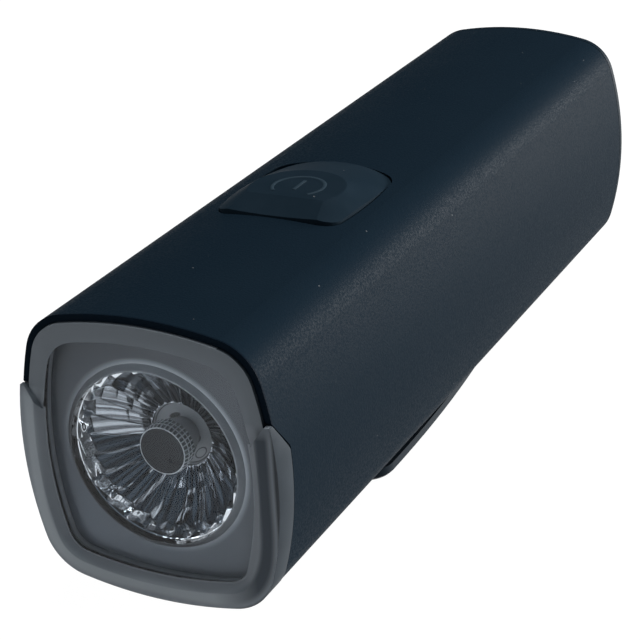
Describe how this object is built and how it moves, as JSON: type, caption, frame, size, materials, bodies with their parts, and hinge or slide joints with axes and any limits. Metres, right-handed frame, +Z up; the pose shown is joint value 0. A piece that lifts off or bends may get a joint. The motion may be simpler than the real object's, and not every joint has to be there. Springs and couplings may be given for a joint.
{
  "type": "bike headlight",
  "caption": "Compact bicycle headlight with a crowned square tube, clear wrap-round lens, faceted bowl, rubber top button, rear charging flap and a slide-in mounting shoe.",
  "frame": {"origin": "underside of the mounting shoe, below the middle of the light's length and width", "axes": "+Z up, +Y from the lens to the rear cap, +X to the right of someone facing the lens"},
  "size_m": [0.032, 0.1164, 0.0384],
  "materials": {
    "anodised_tube": "fine-blasted near-black anodising with a navy cast",
    "clear_lens": "clear moulded polycarbonate with a smoky cast",
    "seal_rubber": "matt silicone",
    "mask_plastic": "dark grey moulded plastic, matt",
    "metallised_bowl": "bright vacuum-metallised plastic",
    "centre_optic": "smoked clear moulding",
    "emitter_dome": "phosphor under a soft clear dome",
    "white_board": "white solder mask on a metal core",
    "thermal_sheet": "soft filled silicone sheet",
    "screw_steel": "plain zinc-plated steel",
    "raw_aluminium": "machined bare aluminium",
    "tray_plastic": "black moulded plastic",
    "cell_sleeve": "shrink sleeve over a steel can",
    "nickel_strip": "bright nickel",
    "pad_foam": "closed-cell foam",
    "green_board": "green solder mask",
    "component_black": "moulded epoxy and ferrite",
    "stem_plastic": "plain white moulded plastic",
    "button_rubber": "matt black silicone",
    "cap_plastic": "near-black moulded plastic, fine texture",
    "black_screw": "black-oxide steel",
    "flap_rubber": "matt black silicone",
    "shoe_plastic": "glass-filled black plastic, fine texture",
    "red_insulation": "silicone insulation",
    "black_insulation": "silicone insulation"
  },
  "bodies": {
    "body": {"body_tube": "anodised_tube", "front_lens": "clear_lens", "front_seal": "seal_rubber", "bezel_mask": "mask_plastic", "reflector": "metallised_bowl", "centre_lens": "centre_optic", "led_emitter": "emitter_dome", "led_board": "white_board", "thermal_pad": "thermal_sheet", "led_board_screws": "screw_steel", "heat_sink": "raw_aluminium", "battery_tray": "tray_plastic", "battery_cell": "cell_sleeve", "negative_tab": "nickel_strip", "positive_tab": "nickel_strip", "foam_pads": "pad_foam", "driver_board": "green_board", "board_screws": "screw_steel", "board_components": "component_black", "tact_switch": "component_black", "button_frame": "tray_plastic", "usb_port": "nickel_strip", "rear_cap": "cap_plastic", "rear_seal": "seal_rubber", "cap_screws": "black_screw", "flap_pin": "screw_steel", "mount_shoe": "shoe_plastic", "shoe_gasket": "seal_rubber", "shoe_screws": "black_screw", "shoe_nut_plate": "screw_steel", "red_wire": "red_insulation", "black_wire": "black_insulation"},
    "button": {"button_pad": "button_rubber", "button_plunger": "stem_plastic", "switch_stem": "stem_plastic"},
    "port_flap": {"usb_flap": "flap_rubber"}
  },
  "joints": [
    {"name": "button_press", "type": "slide", "parent": "body", "child": "button", "axis": [0, 0, -1], "range_m": [0, 0.0005], "stiffness_N_per_m": 2000},
    {"name": "flap_hinge", "type": "hinge", "parent": "body", "child": "port_flap", "pos_m": [0, 0.05715, 0.0256], "axis": [-1, 0, 0], "range_deg": [0, 100]}
  ]
}
